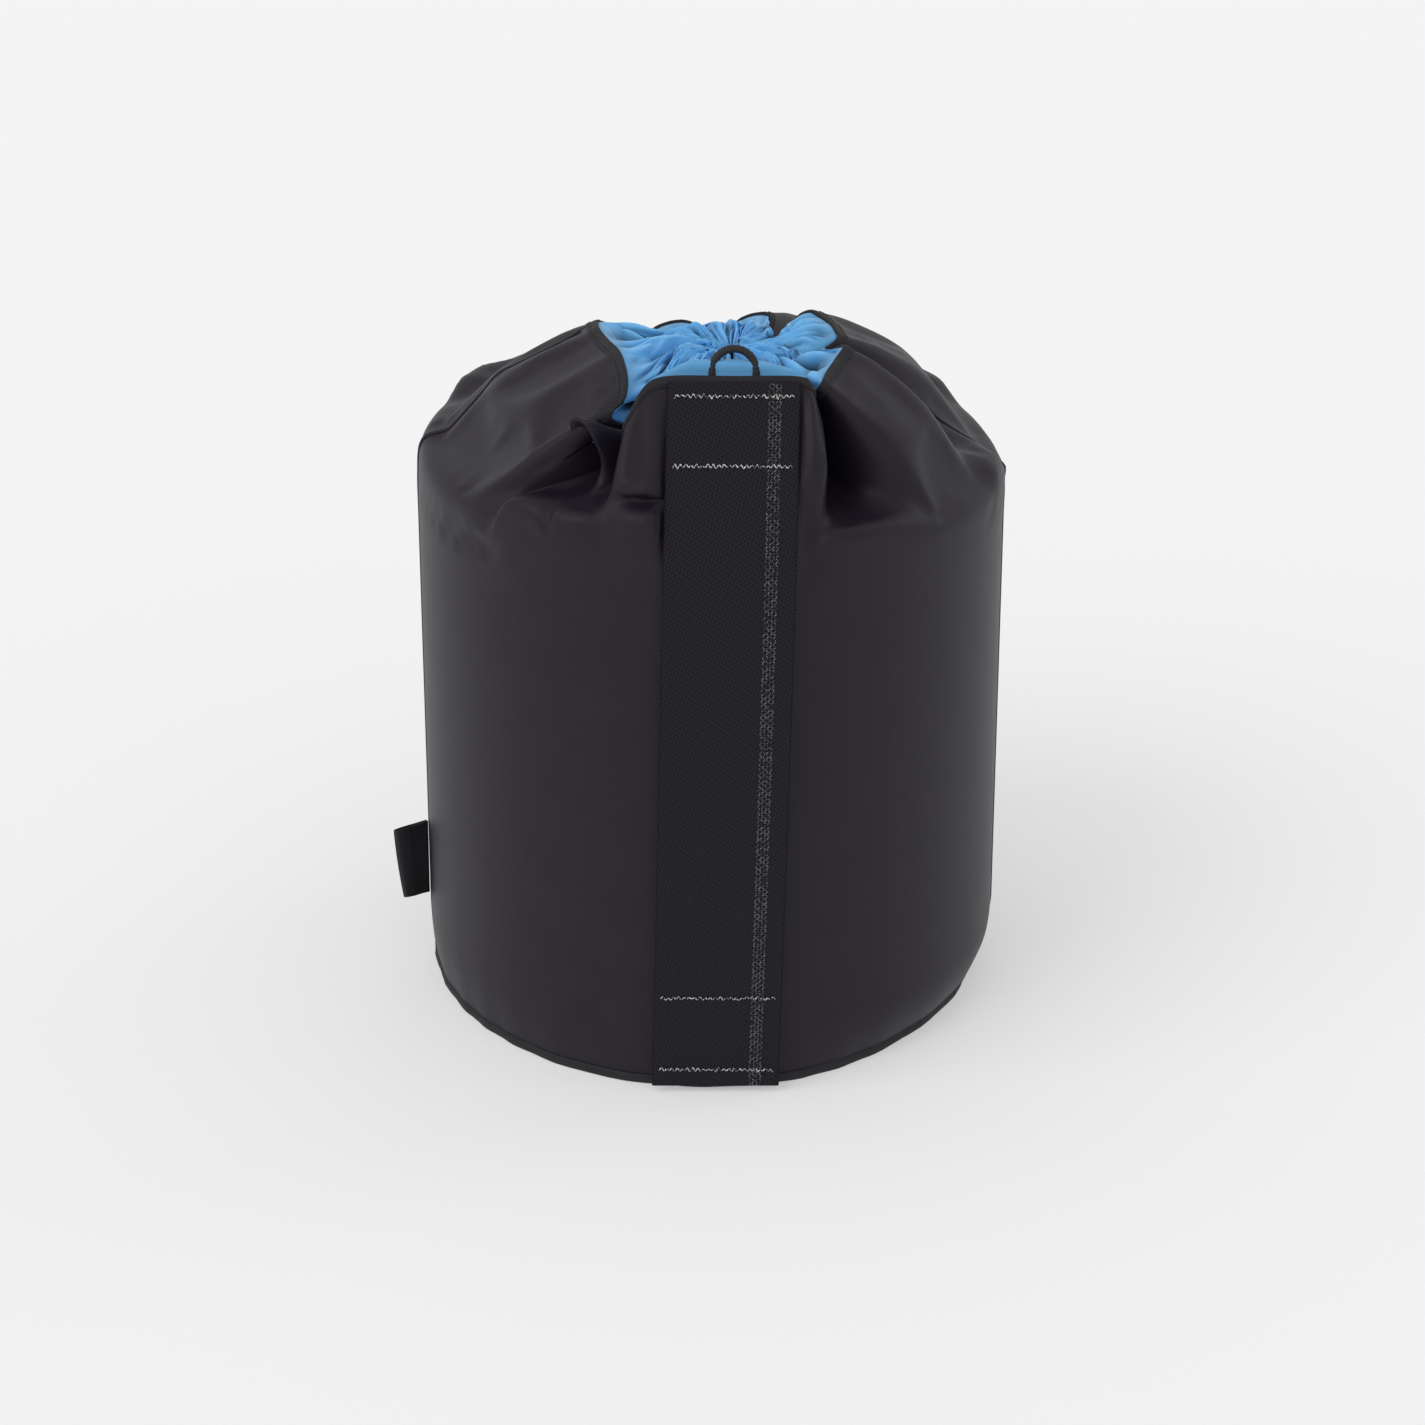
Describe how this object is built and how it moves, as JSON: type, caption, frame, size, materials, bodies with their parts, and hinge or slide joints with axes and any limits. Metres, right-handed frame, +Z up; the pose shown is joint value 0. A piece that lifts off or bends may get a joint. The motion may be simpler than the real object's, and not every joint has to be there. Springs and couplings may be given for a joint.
{
  "type": "rope storage bag",
  "caption": "Round soft nylon bucket bag with a gathered shoulder, an elasticated collar mouth, a webbing grab handle down its front, a cord loop and a side tag.",
  "frame": {"origin": "centre of the base's underside, on the surface the bag stands on", "axes": "+Z up towards the mouth, -Y out of the front where the grab handle is, +X to the bag's right as seen from the front"},
  "size_m": [0.2495, 0.2444, 0.3],
  "materials": {
    "shell_nylon": "coated plain-weave nylon, soft satin sheen",
    "black_tape": "matt grosgrain binding",
    "webbing": "heavy twill webbing, matt",
    "blue_nylon": "light plain-weave nylon, soft satin sheen",
    "reflective_thread": "silver reflective yarn, glittering",
    "round_cord": "braided polyester cord, matt",
    "tag_weave": "dense woven label, blank",
    "elastic": "braided white elastic"
  },
  "bodies": {
    "root": {"base_panel": "shell_nylon", "lining_base": "blue_nylon", "base_seam_binding": "black_tape", "front_panel": "shell_nylon", "back_panel": "shell_nylon", "left_side_seam": "black_tape", "right_side_seam": "black_tape", "hem_binding": "black_tape", "lining_wall": "blue_nylon", "collar": "blue_nylon", "mouth_elastic": "elastic", "handle_bottom": "webbing", "reflective_stripe_bottom": "reflective_thread", "handle_top": "webbing", "reflective_stripe_top": "reflective_thread", "stitch_row_1": "reflective_thread", "stitch_row_2": "reflective_thread", "stitch_row_3": "reflective_thread", "stitch_row_4": "reflective_thread"},
    "grip": {"handle_grip": "webbing", "reflective_stripe_grip": "reflective_thread"},
    "loop": {"hang_loop": "round_cord"},
    "tag": {"side_tag": "tag_weave"}
  },
  "joints": [
    {"name": "grip_pull", "type": "slide", "parent": "root", "child": "grip", "axis": [0, -1, 0], "range_m": [0, 0.018], "stiffness_N_per_m": 80},
    {"name": "loop_tilt", "type": "hinge", "parent": "root", "child": "loop", "pos_m": [0.0087, -0.0772, 0.2858], "axis": [1, 0, 0], "range_deg": [-45, 40], "stiffness_Nm_per_rad": 0.004},
    {"name": "tag_fold", "type": "hinge", "parent": "root", "child": "tag", "pos_m": [-0.1188, 0, 0.0425], "axis": [0, 0, 1], "range_deg": [-110, 45], "stiffness_Nm_per_rad": 0.003}
  ]
}
